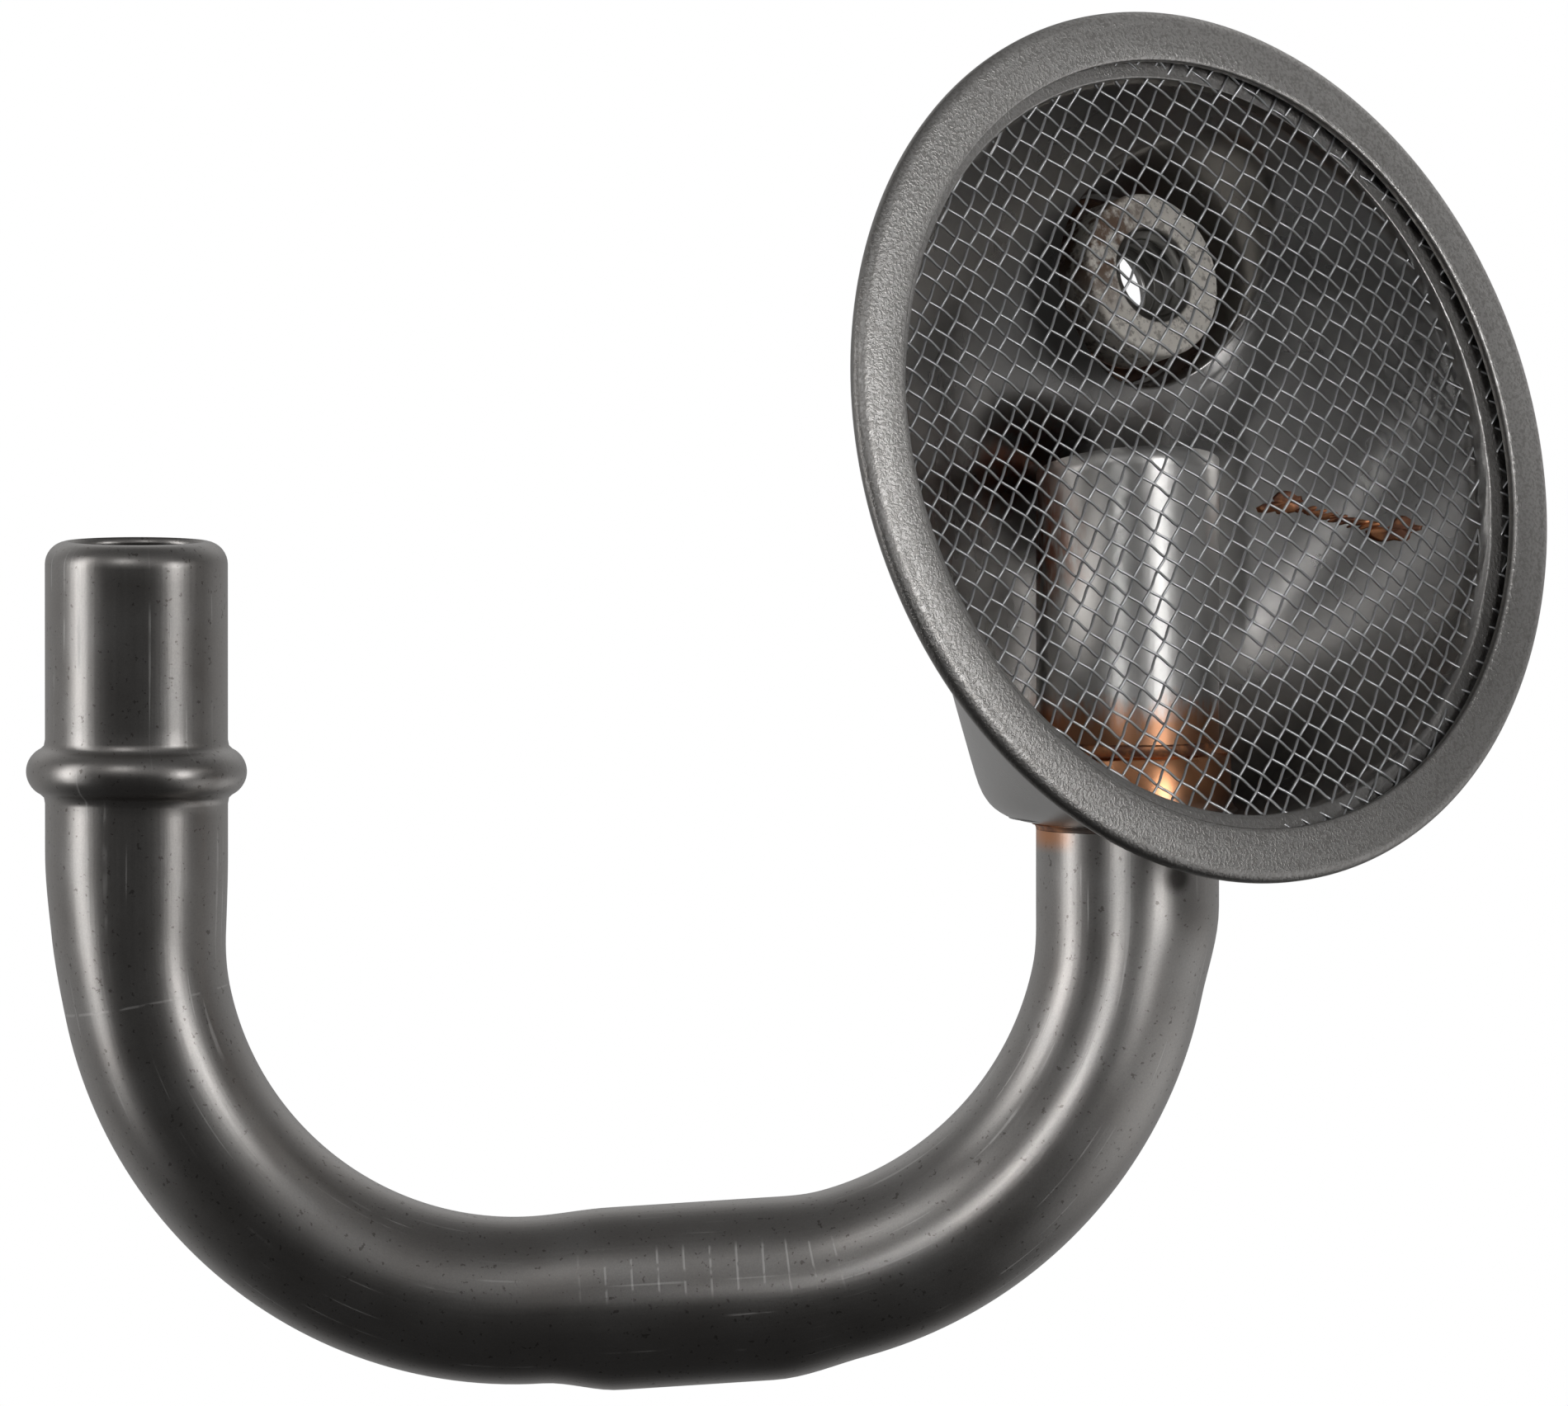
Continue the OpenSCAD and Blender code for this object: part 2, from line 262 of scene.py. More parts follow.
class CupSizes(PropertyGroup):
    """Sizes and place of the stamped cup."""

    mouth_rise: length("Mouth rise", "Height of the mouth centre above the bead", 35.1)
    mouth_ahead: length("Mouth ahead", "Distance of the mouth ahead of the tube", 17.5)
    tube_aside: length("Tube aside", "Sideways shift of the tube in the cup", 3.8)
    mouth_turn: angle("Mouth turn", "Turn of the mouth about the tube", 40.8)
    mouth_tilt: angle("Mouth tilt", "Upward tilt of the mouth", 15.6)
    sheet: length("Sheet", "Thickness of the sheet", 1.2)
    rim_od: length("Rim diameter", "Outside diameter of the rim", 92.8)
    lip: length("Lip", "Width of the folded lip", 5.5)
    slot: length("Slot", "Space for the screen in the fold", 0.9)
    hat: length("Opening", "Inside diameter of the cup at its flange", 79.0)
    trough_gap: length("Trough gap", "Space between the tube and its trough", 5.0)
    plateau: length("Plateau", "Depth of the floor around the nut", 18.8)
    collar: length("Collar", "Height of the drawn collar", 6.3)
    end_wall: length("End wall", "Depth of the end wall's inner face below the bead", 4.18)
    pocket: length("Pocket", "Diameter of the pocket around the nut", 22.0)
    seat: length("Seat", "Depth of the nut's seat behind the lip", 24.2)
    nut_end: length("Nut end", "Radius of the rounded end behind the nut", 12.0)
    nut_end_depth: length("Nut end depth", "Depth of that rounded end", 25.4)
    nut_end_draft: length("Nut end draft", "Distance of that rounded end from the flange", 8.5)
    bolt_hole: length("Bolt hole", "Diameter of the hole behind the nut", 10.0)


class ScreenSizes(PropertyGroup):
    """Sizes of the woven screen."""

    pitch: length("Pitch", "Distance between neighbouring wires", 2.08)
    wire: length("Wire", "Diameter of a wire", 0.32)
    warp_turn: angle("Warp turn", "Direction of the first wires in the mouth", 144.0)
    weft_turn: angle("Weft turn", "Direction of the second wires in the mouth", 51.0)
    sides: IntProperty(name="Sides", description="Sides of a wire", default=6, min=4, max=12)


class NutSizes(PropertyGroup):
    """Sizes and place of the nut, and of the braze."""

    od: length("Outside diameter", "Outside diameter of the nut", 17.4)
    bore: length("Bore", "Tapping diameter of the nut", 7.94)
    depth: length("Length", "Length of the nut", 7.2)
    aside: length("Aside", "Sideways place of the nut from the mouth centre", 11.6)
    up: length("Up", "Upward place of the nut from the mouth centre", 21.6)
    thread: length("Thread pitch", "Distance between neighbouring threads", 1.588)
    chamfer: length("Bevel", "Bevel of the nut's edges", 0.6)
    tube_fillet: length("Tube fillet", "Size of the braze around the tube", 1.2)
    nut_fillet: length("Nut fillet", "Size of the braze around the nut", 1.2)


class FinishColours(PropertyGroup):
    """Colours of the metals."""

    steel: colour("Steel", "Bare tube steel", (0.46, 0.45, 0.44))
    sheet_steel: colour("Sheet steel", "Bare sheet steel", (0.40, 0.39, 0.38))
    wire: colour("Wire", "Drawn wire", (0.64, 0.65, 0.66))
    nut: colour("Nut", "Turned steel of the nut", (0.98, 0.93, 0.85))
    copper: colour("Copper", "Braze", (0.72, 0.33, 0.16))
    floor: colour("Floor", "Pale floor", (1.0, 1.0, 1.0))


class PickupSettings(PropertyGroup):
    """All sizes and colours of the pickup."""

    tube: PointerProperty(type=TubeSizes)
    cup: PointerProperty(type=CupSizes)
    screen: PointerProperty(type=ScreenSizes)
    nut: PointerProperty(type=NutSizes)
    finish: PointerProperty(type=FinishColours)


def settings():
    """Sizes and colours of this scene's pickup."""
    return bpy.context.scene.pickup


# Shader expressions


class Value:
    """A shader socket that takes part in Python expressions."""

    def __init__(self, tree, socket):
        self.tree = tree
        self.socket = socket

    def math(self, operation, *values):
        """Adds a Math node on these values."""
        node = self.tree.nodes.new("ShaderNodeMath")
        node.operation = operation
        for socket, value in zip(node.inputs, values):
            feed(self.tree, socket, value)
        return Value(self.tree, node.outputs[0])

    def __add__(self, other):
        return self.math("ADD", self, other)

    __radd__ = __add__

    def __mul__(self, other):
        return self.math("MULTIPLY", self, other)

    __rmul__ = __mul__

    def __sub__(self, other):
        return self.math("SUBTRACT", self, other)

    def __rsub__(self, other):
        return self.math("SUBTRACT", other, self)

    def __truediv__(self, other):
        return self.math("DIVIDE", self, other)

    def sine(self):
        return self.math("SINE", self)

    def absolute(self):
        return self.math("ABSOLUTE", self)

    def fraction(self):
        return self.math("FRACT", self)

    def at_most(self, other):
        return self.math("MINIMUM", self, other)


def feed(tree, socket, value):
    """Links a value into a socket, or sets the socket to a plain number or colour."""
    if isinstance(value, Value):
        tree.links.new(value.socket, socket)
    elif hasattr(value, "__len__") and len(value) == 3 and socket.type == "RGBA":
        socket.default_value = (*value, 1.0)
    else:
        socket.default_value = value


class Shader:
    """Builds the nodes of one material or world."""

    def __init__(self, tree):
        self.tree = tree
        tree.nodes.clear()

    def node(self, kind, setup=None, inputs=None, output=0):
        """Adds a node with its settings and inputs, and gives one of its outputs."""
        node = self.tree.nodes.new(kind)
        for name, value in (setup or {}).items():
            setattr(node, name, value)
        for name, value in (inputs or {}).items():
            feed(self.tree, node.inputs[name], value)
        return Value(self.tree, node.outputs[output]) if node.outputs else None

    def place(self):
        """Position about the middle of the bead, in metres."""
        position = self.node("ShaderNodeTexCoord", output="Object")
        lift = (0.0, 0.0, settings().tube.bead_height / 2)
        return self.vector("ADD", position, lift)

    def vector(self, operation, first, second, output=0):
        """Vector Math on a vector and a plain or linked one."""
        return self.node("ShaderNodeVectorMath", {"operation": operation}, {0: first, 1: second}, output)

    def unwrapped(self):
        """Place along and around a piece, in metres."""
        return self.node("ShaderNodeUVMap", {"uv_map": "Run"})

    def parts(self, vector):
        """The X, Y and Z of a vector."""
        node = self.tree.nodes.new("ShaderNodeSeparateXYZ")
        feed(self.tree, node.inputs[0], vector)
        return [Value(self.tree, socket) for socket in node.outputs]

    def stretched(self, vector, scale):
        """A vector with a scale of its own in each direction."""
        return self.node("ShaderNodeMapping", None, {"Vector": vector, "Scale": scale})

    def noise(self, vector, scale, detail=2.0, roughness=0.5):
        """Cloudy pattern between 0 and 1."""
        inputs = {"Vector": vector, "Scale": scale, "Detail": detail, "Roughness": roughness}
        return self.node("ShaderNodeTexNoise", None, inputs)

    def between(self, value, low, high):
        """0 below low, 1 above high, smooth in between."""
        inputs = {"Value": value, "From Min": low, "From Max": high}
        return self.node("ShaderNodeMapRange", {"interpolation_type": "SMOOTHSTEP"}, inputs)

    def mix(self, factor, first, second):
        """The first colour at 0 and the second at 1."""
        node = self.tree.nodes.new("ShaderNodeMix")
        node.data_type = "RGBA"
        feed(self.tree, node.inputs["Factor"], factor)
        for socket in node.inputs:
            if socket.type == "RGBA" and socket.name in "AB":
                feed(self.tree, socket, first if socket.name == "A" else second)
        colours = [socket for socket in node.outputs if socket.type == "RGBA"]
        return Value(self.tree, colours[0])

    def bump(self, height, strength, distance):
        """Normal of a surface with this relief."""
        inputs = {"Height": height, "Strength": strength, "Distance": distance}
        return self.node("ShaderNodeBump", None, inputs)

    def surface(self, **sockets):
        """Principled surface; socket names are given with underscores for spaces."""
        inputs = {name.replace("_", " "): value for name, value in sockets.items()}
        shader = self.node("ShaderNodeBsdfPrincipled", None, inputs)
        self.node("ShaderNodeOutputMaterial", None, {"Surface": shader})


def new_finish(name):
    """A new material and the builder of its nodes."""
    material = bpy.data.materials.new(name)
    material.use_nodes = True
    return material, Shader(material.node_tree)


def near(shader, position, centre, low, high):
    """1 close to a point of the part, 0 beyond the far distance."""
    gap = shader.vector("DISTANCE", position, tuple(centre), "Value")
    return 1 - shader.between(gap, low, high)


def bare_outside(shader, x, z):
    """1 below the cup where no copper ran out, 0 inside it and on the side where some did."""
    leg_x = tube_path()["leg_x"]
    below = 1 - shader.between(z, -5 * MM, -4 * MM)
    return below * shader.between(x, leg_x - 8.5 * MM, leg_x - 5 * MM)


def tube_finish():
    """Bare drawn tube: satin, with lengthwise grain, specks, scuffs and a row of tool ticks."""
    tones = settings().finish
    material, shader = new_finish("tube_steel_bare")
    run = shader.unwrapped()
    position = shader.place()
    along, _, _ = shader.parts(run)
    x, y, z = shader.parts(position)
    grain = shader.noise(shader.stretched(run, (60.0, 2600.0, 1.0)), 1.0, 3.0, 0.6)
    cloud = shader.noise(position, 130.0, 3.0, 0.55)
    speck = shader.noise(position, 1500.0, 2.0, 0.6)
    sand = shader.noise(position, 5200.0, 2.0, 0.7)
    pits = shader.between(speck, 0.64, 0.7)

    scratch_noise = shader.noise(shader.stretched(run, (45.0, 1900.0, 1.0)), 1.0, 0.0)
    scratches = shader.between(scratch_noise, 0.72, 0.77) * shader.between(cloud, 0.42, 0.6)
    broken = shader.between(shader.noise(position, 700.0, 1.0), 0.42, 0.52)
    front = 0 - y
    tick_place = ((along / TICK_SPACING).fraction() - 0.5).absolute()
    tick_line = 1 - shader.between(tick_place, 0.025, 0.055)
    low, high = TICK_HEIGHTS
    height_on_run = z - RUN_RISE * (x - RUN_MIDDLE)
    tick_band = shader.between(height_on_run, low, low + 1.3 * MM)
    tick_band = tick_band * shader.between(high - height_on_run, 0, 1.2 * MM)
    start, end = TICK_SPAN
    tick_span = shader.between(x, start, start + 5 * MM) * shader.between(end - x, 0, 4 * MM)
    ticks = tick_line * tick_band * tick_span * shader.between(front, 0, 2 * MM) * broken
    ring_line = 1 - shader.between((along - RING_SCRATCH).absolute(), 0.06 * MM, 0.18 * MM)
    ring_scratch = ring_line * broken * shader.between(front, 0, 3 * MM)
    marks = (scratches * 0.35 + ticks * 0.5 + ring_scratch * 0.3).at_most(1.0)

    wash_noise = shader.noise(shader.stretched(position, (1.0, 1.0, 0.4)), 700.0, 3.0, 0.6)
    leg_side = shader.between(x, 80 * MM, 85 * MM)
    wash = leg_side * (1 - shader.between(z + wash_noise * (6 * MM), 8 * MM, 11.8 * MM))
    wash = wash * shader.between(z, -8.5 * MM, -6.5 * MM) * (1 - bare_outside(shader, x, z))
    # Painted shade: the tube is darkened just under the rim
    rim_shade = near(shader, position, RIM_SHADE_SPOT, 0.6 * MM, 2.2 * MM)
    # Painted light: the leg inside the cup is a brighter copy of the steel, so its highlights come out
    # brighter
    lit_inside_cup = leg_side * shader.between(z, 2 * MM, 6 * MM)
    blush = near(shader, position, TUBE_BLUSH, 3 * MM, 9.5 * MM)
    blush = blush * shader.between(wash_noise, 0.35, 0.6)

    steel = tuple(tones.steel)
    base = shader.mix(cloud, WARM_STEEL, tuple(c * 1.16 for c in steel))
    base = shader.mix(sand * 0.8, base, tuple(c * 0.62 for c in steel))
    base = shader.mix(pits * 0.55, base, PIT_BROWN)
    base = shader.mix(marks, base, BRIGHT_MARK)
    base = shader.mix(lit_inside_cup * 0.75, base, BRIGHTENED_STEEL)
    base = shader.mix(blush * 0.8, base, RED_BROWN)
    base = shader.mix(wash * 0.9, base, tuple(tones.copper))
    base = shader.mix(rim_shade * 0.8, base, RIM_SHADE_BLACK)
    height = grain * 0.35 + speck * 0.2 + sand * 0.25 + marks * 0.3
    shader.surface(
        Base_Color=base,
        Metallic=1 - 0.7 * marks,
        Roughness=0.25 + 0.1 * cloud + 0.08 * grain + 0.2 * marks,
        Normal=shader.bump(height, 0.3, 0.06 * MM),
    )
    return material


def lip_share(shader, position):
    """1 on the folded lip, 0 inside the cup and behind it."""
    centre, _, _, out = mouth_axes()
    away = shader.vector("SUBTRACT", position, tuple(centre))
    reach = shader.vector("DOT_PRODUCT", away, tuple(out), "Value")
    return shader.between(reach, -3.6 * MM, -1.2 * MM)


def facing_out(shader, low, high):
    """1 on faces that look out of the mouth, 0 on the back of the sheet."""
    out = mouth_axes()[3]
    normal = shader.node("ShaderNodeNewGeometry", output="Normal")
    share = shader.vector("DOT_PRODUCT", normal, tuple(out), "Value")
    return shader.between(share, low, high)


def cup_finish():
    """Bare pressed sheet: painted highlight on the lip, painted shade in the pocket by the nut, copper
    run-in near the tube.
    """
    tones = settings().finish
    material, shader = new_finish("cup_steel_bare")
    position = shader.place()
    run = shader.unwrapped()
    _, _, z = shader.parts(position)
    cloud = shader.noise(position, 90.0, 3.0, 0.6)
    grain = shader.noise(shader.stretched(run, (1500.0, 90.0, 1.0)), 1.0, 3.0, 0.6)
    speck = shader.noise(position, 1800.0, 2.0, 0.6)
    foot = near(shader, position, (tube_path()["leg_x"], 0.0, 4 * MM), 11.8 * MM, 15 * MM)
    left_wall, left_of_nut = mouth_point([WALL_STAIN, POCKET_SHADE_SPOT])
    inner = facing_out(shader, 0.0, 0.15)
    patch = shader.between(shader.noise(position, 420.0, 3.0, 0.6), 0.3, 0.58)
    stain_left = near(shader, position, left_wall, 4 * MM, 11 * MM) * inner * patch
    # Painted shade: the sheet is darkened in the pocket left of the nut
    pocket_shade = near(shader, position, left_of_nut, 8.5 * MM, 12.5 * MM) * inner
    lip = lip_share(shader, position)
    # Painted highlight: the outward lip face is a brighter copy of the sheet, lighter towards the top
    lit_higher = 0.42 + 0.58 * shader.between(z, 6 * MM, 42 * MM)
    crown = lip * facing_out(shader, 0.3, 0.85) * lit_higher
    base = shader.mix(cloud, tuple(tones.sheet_steel), tuple(c * 1.15 for c in tones.sheet_steel))
    base = shader.mix(speck * 0.3, base, tuple(c * 0.6 for c in tones.sheet_steel))
    # Darker lip: partly its own grainy tone, partly painted shade on the outer fold
    base = shader.mix(lip * 0.6, base, LIP_TONE_AND_FOLD_SHADE)
    base = shader.mix(crown * 0.95, base, tuple(c * 1.9 for c in tones.sheet_steel))
    grit = shader.between(shader.noise(position, 2600.0, 2.0, 0.7), 0.4, 0.62)
    base = shader.mix(lip * grit * 0.4, base, LIP_GRIT)
    base = shader.mix(pocket_shade * 0.85, base, CUP_POCKET_SHADE)
    base = shader.mix(stain_left * 0.85, base, RED_BROWN)
    base = shader.mix(foot * 0.95, base, tuple(tones.copper))
    height = grain * (0.2 + 0.5 * lip) + speck * 0.2 + grit * lip * 0.8
    shader.surface(
        Base_Color=base,
        Metallic=1.0,
        Roughness=0.24 + 0.08 * cloud + lip * (0.08 + 0.12 * grain),
        Normal=shader.bump(height, 0.4, 0.07 * MM),
    )
    return material


def wire_finish():
    """Bright drawn wire, clouded a little."""
    tones = settings().finish
    material, shader = new_finish("screen_wire_bright")
    position = shader.place()
    cloud = shader.noise(position, 160.0, 2.0)
    base = shader.mix(cloud, tuple(c * 0.86 for c in tones.wire), tuple(tones.wire))
    shader.surface(Base_Color=base, Metallic=0.85, Roughness=0.3 + 0.14 * cloud)
    return material


def nut_finish():
    """Turned face with fine rings, dull stains and a burnt side."""
    tones = settings().finish
    material, shader = new_finish("nut_steel_turned")
    position = shader.place()
    along, _, _ = shader.parts(shader.unwrapped())
    rings = (along * 9000.0).sine()
    cloud = shader.noise(position, 420.0, 4.0, 0.62)
    pit = shader.noise(position, 1300.0, 3.0, 0.6)
    burnt = near(shader, position, mouth_point([NUT_BURN])[0], 3 * MM, 10.5 * MM)
    burnt = burnt * shader.between(cloud, 0.4, 0.56)
    stain = shader.between(pit, 0.5, 0.66) * 0.6
    base = shader.mix(cloud, tuple(c * 0.8 for c in tones.nut), tuple(tones.nut))
    base = shader.mix(stain, base, NUT_STAIN)
    base = shader.mix(burnt, base, NUT_BROWN)
    bore = shader.between(along, 13.8 * MM, 14.4 * MM)
    base = shader.mix(bore, base, BORE_STEEL)
    shader.surface(
        Base_Color=base,
        Metallic=0.15 + 0.85 * bore,
        Roughness=0.5 + 0.16 * cloud - 0.2 * bore,
        Normal=shader.bump(rings * 0.12 + pit * 0.5, 0.4, 0.1 * MM),
    )
    return material


def braze_finish():
    """Copper braze, bright where it flowed and dark where it oxidised, with painted shade at the nut."""
    tones = settings().finish
    material, shader = new_finish("braze_copper")
    position = shader.place()
    cloud = shader.noise(position, 380.0, 4.0, 0.62)
    fine = shader.noise(position, 1600.0, 2.0)
    base = shader.mix(shader.between(cloud, 0.38, 0.62), DULL_COPPER, tuple(tones.copper))
    nut_seat = nut_point(np.zeros((1, 3)))[0]
    # Painted shade: the braze is darkened around the nut in its pocket
    pocket_shade = near(shader, position, nut_seat, 13 * MM, 19 * MM)
    base = shader.mix(pocket_shade * 0.8, base, BRAZE_POCKET_SHADE)
    x, _, z = shader.parts(position)
    base = shader.mix(bare_outside(shader, x, z) * 0.9, base, BARE_RING)
    shader.surface(
        Base_Color=base,
        Metallic=0.9,
        Roughness=0.36 + 0.18 * cloud,
        Normal=shader.bump(cloud * 0.7 + fine * 0.3, 0.35, 0.12 * MM),
    )
    return material


# Meshes


def mesh_piece(name, points, faces, uv, material):
    """A smooth mesh object; uv holds one (along, around) pair per corner of each face.

    The points are given about the middle of the bead, and the origin is at the bead's top.
    """
    mesh = bpy.data.meshes.new(name)
    points = points - np.array([0.0, 0.0, settings().tube.bead_height / 2])
    mesh.from_pydata(points.tolist(), [], faces.tolist())
    layer = mesh.uv_layers.new(name="Run")
    layer.data.foreach_set("uv", np.asarray(uv, np.float32).ravel())
    mesh.polygons.foreach_set("use_smooth", np.ones(len(mesh.polygons), bool))
    mesh.materials.append(material)
    mesh.update()
    piece = bpy.data.objects.new(name, mesh)
    bpy.context.scene.collection.objects.link(piece)
    return piece


def loft(rings, along, around, closed=False):
    """Points, quads and corner uv of rings (count, sides, 3) that are joined one to the next."""
    count, sides, _ = rings.shape
    rows = np.arange(count if closed else count - 1)
    i, j = np.meshgrid(rows, np.arange(sides), indexing="ij")
    i2, j2 = (i + 1) % count, (j + 1) % sides
    faces = np.stack([i * sides + j, i * sides + j2, i2 * sides + j2, i2 * sides + j], -1)
    step = np.append(along, 2 * along[-1] - along[-2])
    turn = np.append(around, 2 * around[-1] - around[-2])
    u = np.stack([step[i], step[i], step[i + 1], step[i + 1]], -1)
    v = np.stack([turn[j], turn[j + 1], turn[j + 1], turn[j]], -1)
    return rings.reshape(-1, 3), faces.reshape(-1, 4), np.stack([u, v], -1).reshape(-1, 4, 2)


def capped(rings):
    """Rings with both ends drawn in to a point, to be welded."""
    ends = [np.broadcast_to(ring.mean(0), ring.shape)[None] for ring in (rings[0], rings[-1])]
    return np.concatenate([ends[0], rings, ends[1]])


def joined(parts):
    """Several (points, faces, uv) sets as one."""
    points, faces, uv, start = [], [], [], 0
    for part_points, part_faces, part_uv in parts:
        points.append(part_points)
        faces.append(part_faces + start)
        uv.append(part_uv)
        start += len(part_points)
    return np.concatenate(points), np.concatenate(faces), np.concatenate(uv)


def turned(profile, place, wobble=None):
    """A closed profile of (radius, height) points turned about the Z axis of place()."""
    spin = np.linspace(0.0, 2 * np.pi, RING_SIDES, endpoint=False)
    radius = np.repeat(profile[:, :1], RING_SIDES, 1)
    height = np.repeat(profile[:, 1:], RING_SIDES, 1)
    if wobble is not None:
        radius, height = wobble(radius, height, spin)
    rings = np.stack([radius * np.cos(spin), radius * np.sin(spin), height], -1)
    step = np.r_[0, np.cumsum(np.hypot(*np.diff(profile, axis=0).T))]
    around = spin * profile[:, 0].mean()
    points, faces, uv = loft(rings, step, around, closed=True)
    return place(points), faces, uv


def arc(r, z, size, angles):
    """(radius, height) points on a circle about (r, z)."""
    return [(r + size * math.cos(q), z + size * math.sin(q)) for q in angles]


def weld(work):
    """Joins the points that lie in one place."""
    bmesh.ops.remove_doubles(work, verts=work.verts[:], dist=WELD)


def edge_hole(work):
    """Drops loose points and gives the hole around the tube its cut edge."""
    loose = [v for v in work.verts if not v.link_faces]
    bmesh.ops.delete(work, geom=loose, context="VERTS")
    cut = [edge for edge in work.edges if edge.is_boundary]
    bmesh.ops.bridge_loops(work, edges=cut)


def fit(name, shape, material, nodes=(), edits=()):
    """Makes a closed piece, faces it outwards and puts it in place of its plain solids."""
    piece = mesh_piece(name, *shape, material)
    work = bmesh.new()
    work.from_mesh(piece.data)
    for edit in edits:
        edit(work)
    work.normal_update()
    bmesh.ops.recalc_face_normals(work, faces=work.faces)
    work.to_mesh(piece.data)
    work.free()
    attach(piece, "root")
    if nodes:
        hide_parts(*nodes)


def smooth(t):
    """0 below 0, 1 above 1, smooth in between."""
    t = np.clip(t, 0.0, 1.0)
    return t * t * (3 - 2 * t)


def lower_of(a, b, blend):
    """The lower of two heights with a round transition."""
    h = np.clip(0.5 + 0.5 * (b - a) / blend, 0, 1)
    return b + (a - b) * h - blend * h * (1 - h)


def higher_of(a, b, blend):
    """The higher of two heights with a round transition."""
    return -lower_of(-a, -b, blend)


# Places in the part


def tube_path():
    """Bend centres and leg places of the tube's middle line, in X and Z."""
    t = settings().tube
    slope = t.run_slope
    ahead = np.array([math.cos(slope), math.sin(slope)])
    up = np.array([-math.sin(slope), math.cos(slope)])
    first = np.array([t.first_bend, -t.leg])
    run_start = first - t.first_bend * up
    run_end = run_start + t.run * ahead
    second = run_end + t.second_bend * up
    return {
        "first": first,
        "run_start": run_start,
        "ahead": ahead,
        "second": second,
        "leg_x": second[0] + t.second_bend,
        "leg_z": second[1],
    }


def mouth_axes():
    """Centre of the mouth, and its sideways, upward and outward directions."""
    c = settings().cup
    turn, tilt = c.mouth_turn, c.mouth_tilt
    side = np.array([math.cos(turn), math.sin(turn), 0.0])
    ahead = np.array([math.sin(turn), -math.cos(turn), 0.0])
    up = -math.sin(tilt) * ahead + np.array([0.0, 0.0, math.cos(tilt)])
    out = math.cos(tilt) * ahead + np.array([0.0, 0.0, math.sin(tilt)])
    leg = np.array([tube_path()["leg_x"], 0.0, c.mouth_rise])
    centre = leg - c.tube_aside * side + c.mouth_ahead * ahead
    return centre, side, up, out


def mouth_point(points):
    """Points given in the mouth's sideways, upward and outward lengths."""
    centre, side, up, out = mouth_axes()
    points = np.asarray(points, float)
    return centre + points[..., :1] * side + points[..., 1:2] * up + points[..., 2:] * out


def nut_point(points):
    """Points given about the nut's axis, from its seat outwards."""
    n = settings().nut
    return mouth_point(points + np.array([n.aside, n.up, -settings().cup.seat]))


def leg_point(points):
    """Points given about the axis of the tube's leg in the cup."""
    return points + np.array([tube_path()["leg_x"], 0.0, 0.0])


def tube_depth(height):
    """Upward place and depth, in the mouth, of the tube's axis at a height above the bead."""
    c = settings().cup
    rise = height - c.mouth_rise
    sine, cosine = math.sin(c.mouth_tilt), math.cos(c.mouth_tilt)
    return c.mouth_ahead * sine + rise * cosine, c.mouth_ahead * cosine - rise * sine


def hat_reach(a, b):
    """How far the drawn hat reaches along the direction (a, b, 1) of the mouth's place and depth.

    The hat is pulled over the round opening, the rounded end of the trough, a ball at the tube's
    end and a ball at the nut.
    """
    c, n, t = settings().cup, settings().nut, settings().tube
    size = np.sqrt(1 + a * a + b * b)
    opening = 2 * c.sheet + c.slot + c.hat / 2 * np.hypot(a, b)
    corner = c.trough_gap - n.tube_fillet
    end_up, end_depth = tube_depth(corner - c.end_wall)
    along = b * math.cos(c.mouth_tilt) - math.sin(c.mouth_tilt)
    ring = (t.od / 2 + n.tube_fillet) * np.sqrt(np.maximum(size**2 - along**2, 0))
    trough = c.tube_aside * a + end_up * b + end_depth + ring + corner * size
    top_up, top_depth = tube_depth(t.end_height)
    tube_ball = c.tube_aside * a + top_up * b + top_depth + (t.od / 2 + c.trough_gap) * size
    ball = c.nut_end - c.sheet
    nut_up = c.hat / 2 + c.sheet - c.nut_end_draft - c.nut_end
    nut_ball = (n.aside - c.nut_end / 4) * a + nut_up * b + c.nut_end_depth - c.nut_end + ball * size
    return np.maximum.reduce([opening, trough, tube_ball, nut_ball])


def hat_depth(x, y):
    """Depth of the drawn hat: the lowest of all planes that touch it."""
    a, b = np.zeros_like(x), np.zeros_like(x)
    best = hat_reach(a, b)

    def better(try_a, try_b):
        nonlocal a, b, best
        depth = hat_reach(try_a, try_b) - try_a * x - try_b * y
        lower = depth < best
        best = np.where(lower, depth, best)
        a, b = np.where(lower, try_a, a), np.where(lower, try_b, b)

    for bearing in np.linspace(0, 2 * np.pi, FIRST_BEARINGS, endpoint=False):
        for lean in np.tan(np.radians(FIRST_LEANS)):
            better(lean * math.cos(bearing), lean * math.sin(bearing))
    for count in range(SEARCH_ROUNDS):
        step = FIRST_STEP * STEP_SHRINK**count * (1 + np.hypot(a, b))
        from_a, from_b = a, b
        cosine, sine = math.cos(PATTERN_TURN * count), math.sin(PATTERN_TURN * count)
        for i, j in np.ndindex(5, 5):
            along, across = i - 2, j - 2
            shift_a, shift_b = along * cosine - across * sine, along * sine + across * cosine
            better(from_a + step * shift_a, from_b + step * shift_b)
        for shift, axis in ((1, 0), (-1, 0), (1, 1), (-1, 1)):
            better(np.roll(a, shift, axis), np.roll(b, shift, axis))
    for _ in range(SOFTENINGS):
        best = (np.roll(best, 1, 1) + 2 * best + np.roll(best, -1, 1)) / 4
        best[1:-1] = (best[:-2] + 2 * best[1:-1] + best[2:]) / 4
    return best


